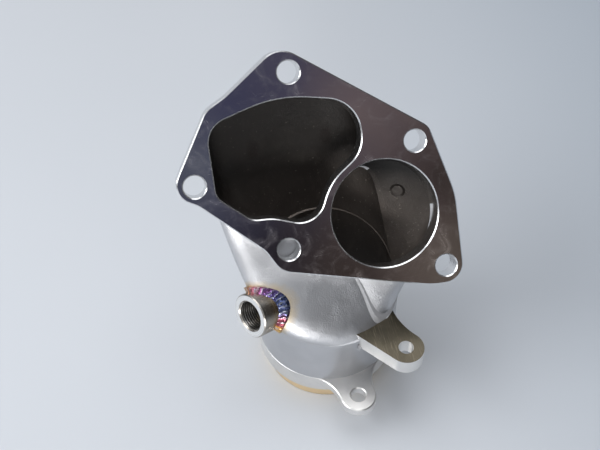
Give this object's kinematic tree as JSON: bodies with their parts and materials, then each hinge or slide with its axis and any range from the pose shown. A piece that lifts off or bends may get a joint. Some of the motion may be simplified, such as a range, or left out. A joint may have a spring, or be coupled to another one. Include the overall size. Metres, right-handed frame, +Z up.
{
  "type": "turbo outlet pipe",
  "caption": "Welded turbo outlet elbow: tilted inlet flange with turbine and wastegate openings, blended duct, round outlet flange with bolt ears, sensor bung and stay bracket.",
  "frame": {"origin": "centre of the outlet bore at the lip's end face", "axes": "+Z up along the outlet bore, away from the pipe below; +X to the wastegate side; the inlet flange faces -Y and up"},
  "size_m": [0.1486, 0.1299, 0.1948],
  "materials": {
    "machined_plate": "polished",
    "duct_skin": "satin",
    "collar_steel": "brushed",
    "flange_steel": "satin",
    "tinted_steel": "heat tinted",
    "bracket_steel": "heat tinted",
    "bung_steel": "turned",
    "rainbow_weld": "heat tinted",
    "weld_metal": "as welded"
  },
  "bodies": {
    "root": {"inlet_flange": "machined_plate", "turbine_duct": "duct_skin", "wastegate_duct": "duct_skin", "outlet_collar": "collar_steel", "outlet_flange": "flange_steel", "outlet_spigot": "tinted_steel", "support_bracket": "bracket_steel", "sensor_bung": "bung_steel", "sensor_bung_weld": "rainbow_weld", "inlet_flange_weld": "weld_metal", "duct_seam_weld": "weld_metal", "collar_weld": "weld_metal", "bracket_weld": "weld_metal", "outlet_flange_weld": "weld_metal", "spigot_weld": "weld_metal"}
  },
  "joints": []
}
